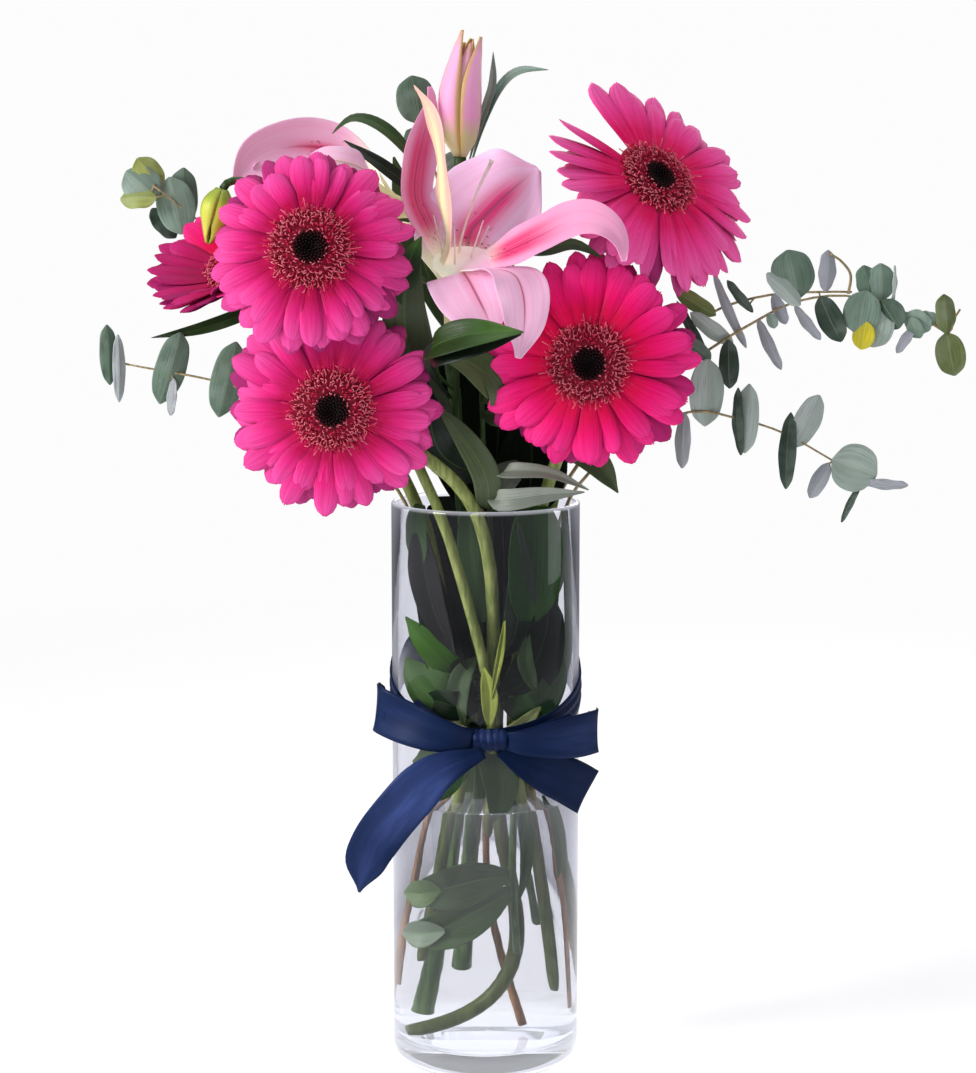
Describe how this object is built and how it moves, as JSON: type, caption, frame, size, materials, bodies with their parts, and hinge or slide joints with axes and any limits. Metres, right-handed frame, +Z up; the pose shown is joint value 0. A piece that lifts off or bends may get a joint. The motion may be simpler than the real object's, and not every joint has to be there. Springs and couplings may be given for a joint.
{
  "type": "lilies and gerberas in a vase",
  "caption": "Clear glass cylinder vase of water, tied with a satin bow, holding pink gerberas, pink lilies and sprigs of eucalyptus.",
  "frame": {"origin": "middle of the vase's foot, on the surface it stands on", "axes": "+Z up, -Y towards the front of the arrangement, where the bow is"},
  "size_m": [0.4553, 0.1634, 0.55],
  "materials": {
    "clear_glass": "clear pressed glass, smooth",
    "still_water": "still clear water",
    "navy_satin": "satin weave with a soft sheen",
    "gerbera_pink": "velvety hot-pink petals",
    "gerbera_disc": "dense dark florets",
    "gerbera_cup": "fresh green bracts, matt",
    "gerbera_stem": "yellow-green, slightly hairy",
    "lily_pink": "waxy pale-pink petals",
    "lily_green": "dark green, half glossy",
    "lily_lime": "lime green, matt",
    "eucalyptus_grey_green": "grey-green with a chalky bloom"
  },
  "bodies": {
    "root": {"vase": "clear_glass", "water": "still_water", "ribbon_band": "navy_satin", "ribbon_knot": "navy_satin", "ribbon_loop_left": "navy_satin", "ribbon_loop_right": "navy_satin", "ribbon_tail_left": "navy_satin", "ribbon_tail_right": "navy_satin", "gerbera_1_ray_florets": "gerbera_pink", "gerbera_1_disc": "gerbera_disc", "gerbera_1_calyx": "gerbera_cup", "gerbera_1_stem": "gerbera_stem", "gerbera_2_ray_florets": "gerbera_pink", "gerbera_2_disc": "gerbera_disc", "gerbera_2_calyx": "gerbera_cup", "gerbera_2_stem": "gerbera_stem", "gerbera_3_ray_florets": "gerbera_pink", "gerbera_3_disc": "gerbera_disc", "gerbera_3_calyx": "gerbera_cup", "gerbera_3_stem": "gerbera_stem", "gerbera_4_ray_florets": "gerbera_pink", "gerbera_4_disc": "gerbera_disc", "gerbera_4_calyx": "gerbera_cup", "gerbera_4_stem": "gerbera_stem", "gerbera_5_ray_florets": "gerbera_pink", "gerbera_5_disc": "gerbera_disc", "gerbera_5_calyx": "gerbera_cup", "gerbera_5_stem": "gerbera_stem", "lily_stem": "lily_green", "lily_tepal_right": "lily_pink", "lily_tepal_upper_right": "lily_pink", "lily_tepal_left": "lily_pink", "lily_tepal_upright": "lily_pink", "lily_tepal_front": "lily_pink", "lily_tepal_hanging": "lily_pink", "lily_pistil": "lily_pink", "lily_bud": "lily_pink", "back_lily_stem": "lily_green", "back_lily_tepal_top": "lily_pink", "back_lily_tepal_top_back": "lily_pink", "back_lily_tepal_low_back": "lily_pink", "back_lily_tepal_low": "lily_pink", "back_lily_tepal_low_front": "lily_pink", "back_lily_tepal_top_front": "lily_pink", "green_bud": "lily_lime", "eucalyptus_upper_left": "eucalyptus_grey_green", "eucalyptus_left": "eucalyptus_grey_green", "eucalyptus_upper_right": "eucalyptus_grey_green", "eucalyptus_lower_right": "eucalyptus_grey_green", "eucalyptus_top": "eucalyptus_grey_green", "foliage_front": "lily_green", "foliage_right": "lily_green"}
  },
  "joints": []
}
